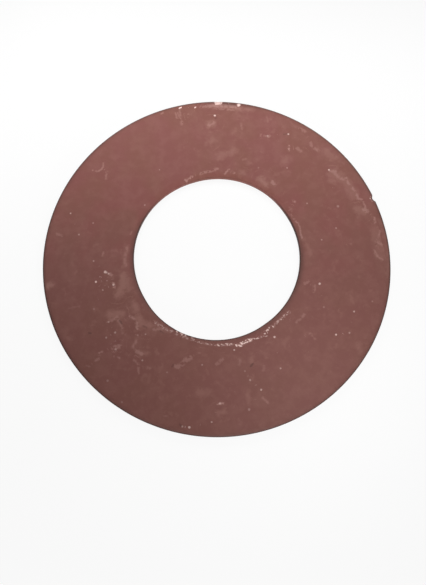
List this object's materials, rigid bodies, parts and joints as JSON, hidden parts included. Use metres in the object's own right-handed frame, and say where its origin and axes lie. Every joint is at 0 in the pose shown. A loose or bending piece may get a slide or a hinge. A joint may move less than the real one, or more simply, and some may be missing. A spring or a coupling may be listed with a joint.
{
  "type": "shaft washer",
  "caption": "Flat round steel shaft washer with a plain central bore and rolled edges, coated red-brown, worn at its edges.",
  "frame": {"origin": "centre of the bore on the lower face, the face that the washer lies on", "axes": "+Z along the bore axis, out of the upper face with the rolled edges; +X and +Y lie in the lower face, and the rim's nick is 20.5 degrees from +X towards +Y"},
  "size_m": [0.08, 0.08, 0.0015],
  "materials": {
    "coated_steel": "satin red-brown coat on steel sheet, scuffed and dusty, chipped to bare steel at the bore and the rim"
  },
  "bodies": {
    "root": {"shaft_washer": "coated_steel"}
  },
  "joints": []
}
